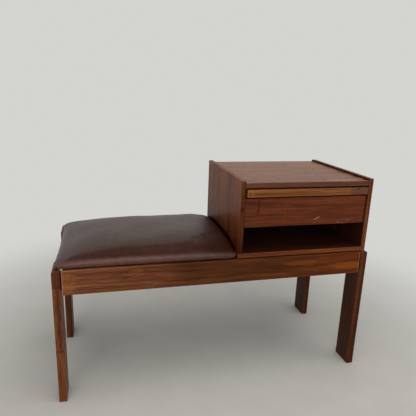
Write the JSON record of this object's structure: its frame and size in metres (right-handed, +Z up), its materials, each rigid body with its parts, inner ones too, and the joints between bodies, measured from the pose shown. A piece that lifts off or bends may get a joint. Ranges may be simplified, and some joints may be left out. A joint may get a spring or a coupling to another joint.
{
  "type": "telephone bench",
  "caption": "Low wooden telephone bench with a padded leather seat beside a small cabinet that has a pull-out writing slide, a drawer and an open compartment.",
  "frame": {"origin": "centre of the bench's outline on the floor, at the level of the feet", "axes": "+X along the bench towards the cabinet end, +Y to the back, +Z up"},
  "size_m": [1, 0.432, 0.674],
  "materials": {
    "leg_wood": "satin lacquered dark hardwood",
    "rail_wood": "satin lacquered red-brown hardwood, long grain",
    "case_wood": "satin lacquered dark red-brown hardwood",
    "top_wood": "worn lacquer, pinkish brown",
    "strip_wood": "lacquered lip with worn stripes",
    "inner_wood": "dark oiled softwood, unpolished",
    "panel_wood": "thin plywood, bare",
    "leather": "aged brown leather with a soft sheen",
    "foam": "upholstery foam",
    "dowel_wood": "bare beech",
    "steel": "plain steel screws, pins and staples",
    "nylon": "off-white nylon"
  },
  "bodies": {
    "bench": {"back_pins": "steel", "bearer_left": "inner_wood", "bearer_middle": "inner_wood", "bearer_right": "inner_wood", "cabinet_back": "panel_wood", "cabinet_bottom": "case_wood", "cabinet_dowels": "dowel_wood", "cabinet_screws": "steel", "cabinet_side_left": "case_wood", "cabinet_side_right": "case_wood", "cabinet_spacer_left": "inner_wood", "cabinet_spacer_right": "inner_wood", "cabinet_top": "top_wood", "drawer_runner_left": "inner_wood", "drawer_runner_right": "inner_wood", "end_rail_left": "inner_wood", "end_rail_right": "inner_wood", "frame_dowels": "dowel_wood", "front_rail": "rail_wood", "leg_front_left": "leg_wood", "leg_front_right": "leg_wood", "leg_rear_left": "leg_wood", "leg_rear_right": "leg_wood", "leg_screws": "steel", "rear_rail": "rail_wood", "runner_screws": "steel", "seat_board": "panel_wood", "seat_cover": "leather", "seat_foam": "foam", "seat_glide_front": "nylon", "seat_glide_rear": "nylon", "seat_screws": "steel", "seat_spacer_left": "inner_wood", "seat_spacer_right": "inner_wood", "seat_staples": "steel", "slide_kicker_left": "inner_wood", "slide_kicker_right": "inner_wood", "slide_runner_left": "inner_wood", "slide_runner_right": "inner_wood", "slide_stop_rail": "inner_wood"},
    "drawer": {"drawer_back": "inner_wood", "drawer_bottom": "panel_wood", "drawer_front": "case_wood", "drawer_pins": "steel", "drawer_side_left": "inner_wood", "drawer_side_right": "inner_wood"},
    "writing_slide": {"slide_lip": "strip_wood", "slide_panel": "inner_wood", "slide_stop_pegs": "dowel_wood"}
  },
  "joints": [
    {"name": "drawer_slide", "type": "slide", "parent": "bench", "child": "drawer", "axis": [0, -1, 0], "range_m": [0, 0.26]},
    {"name": "writing_slide_pull", "type": "slide", "parent": "bench", "child": "writing_slide", "axis": [0, -1, 0], "range_m": [0, 0.2]}
  ]
}
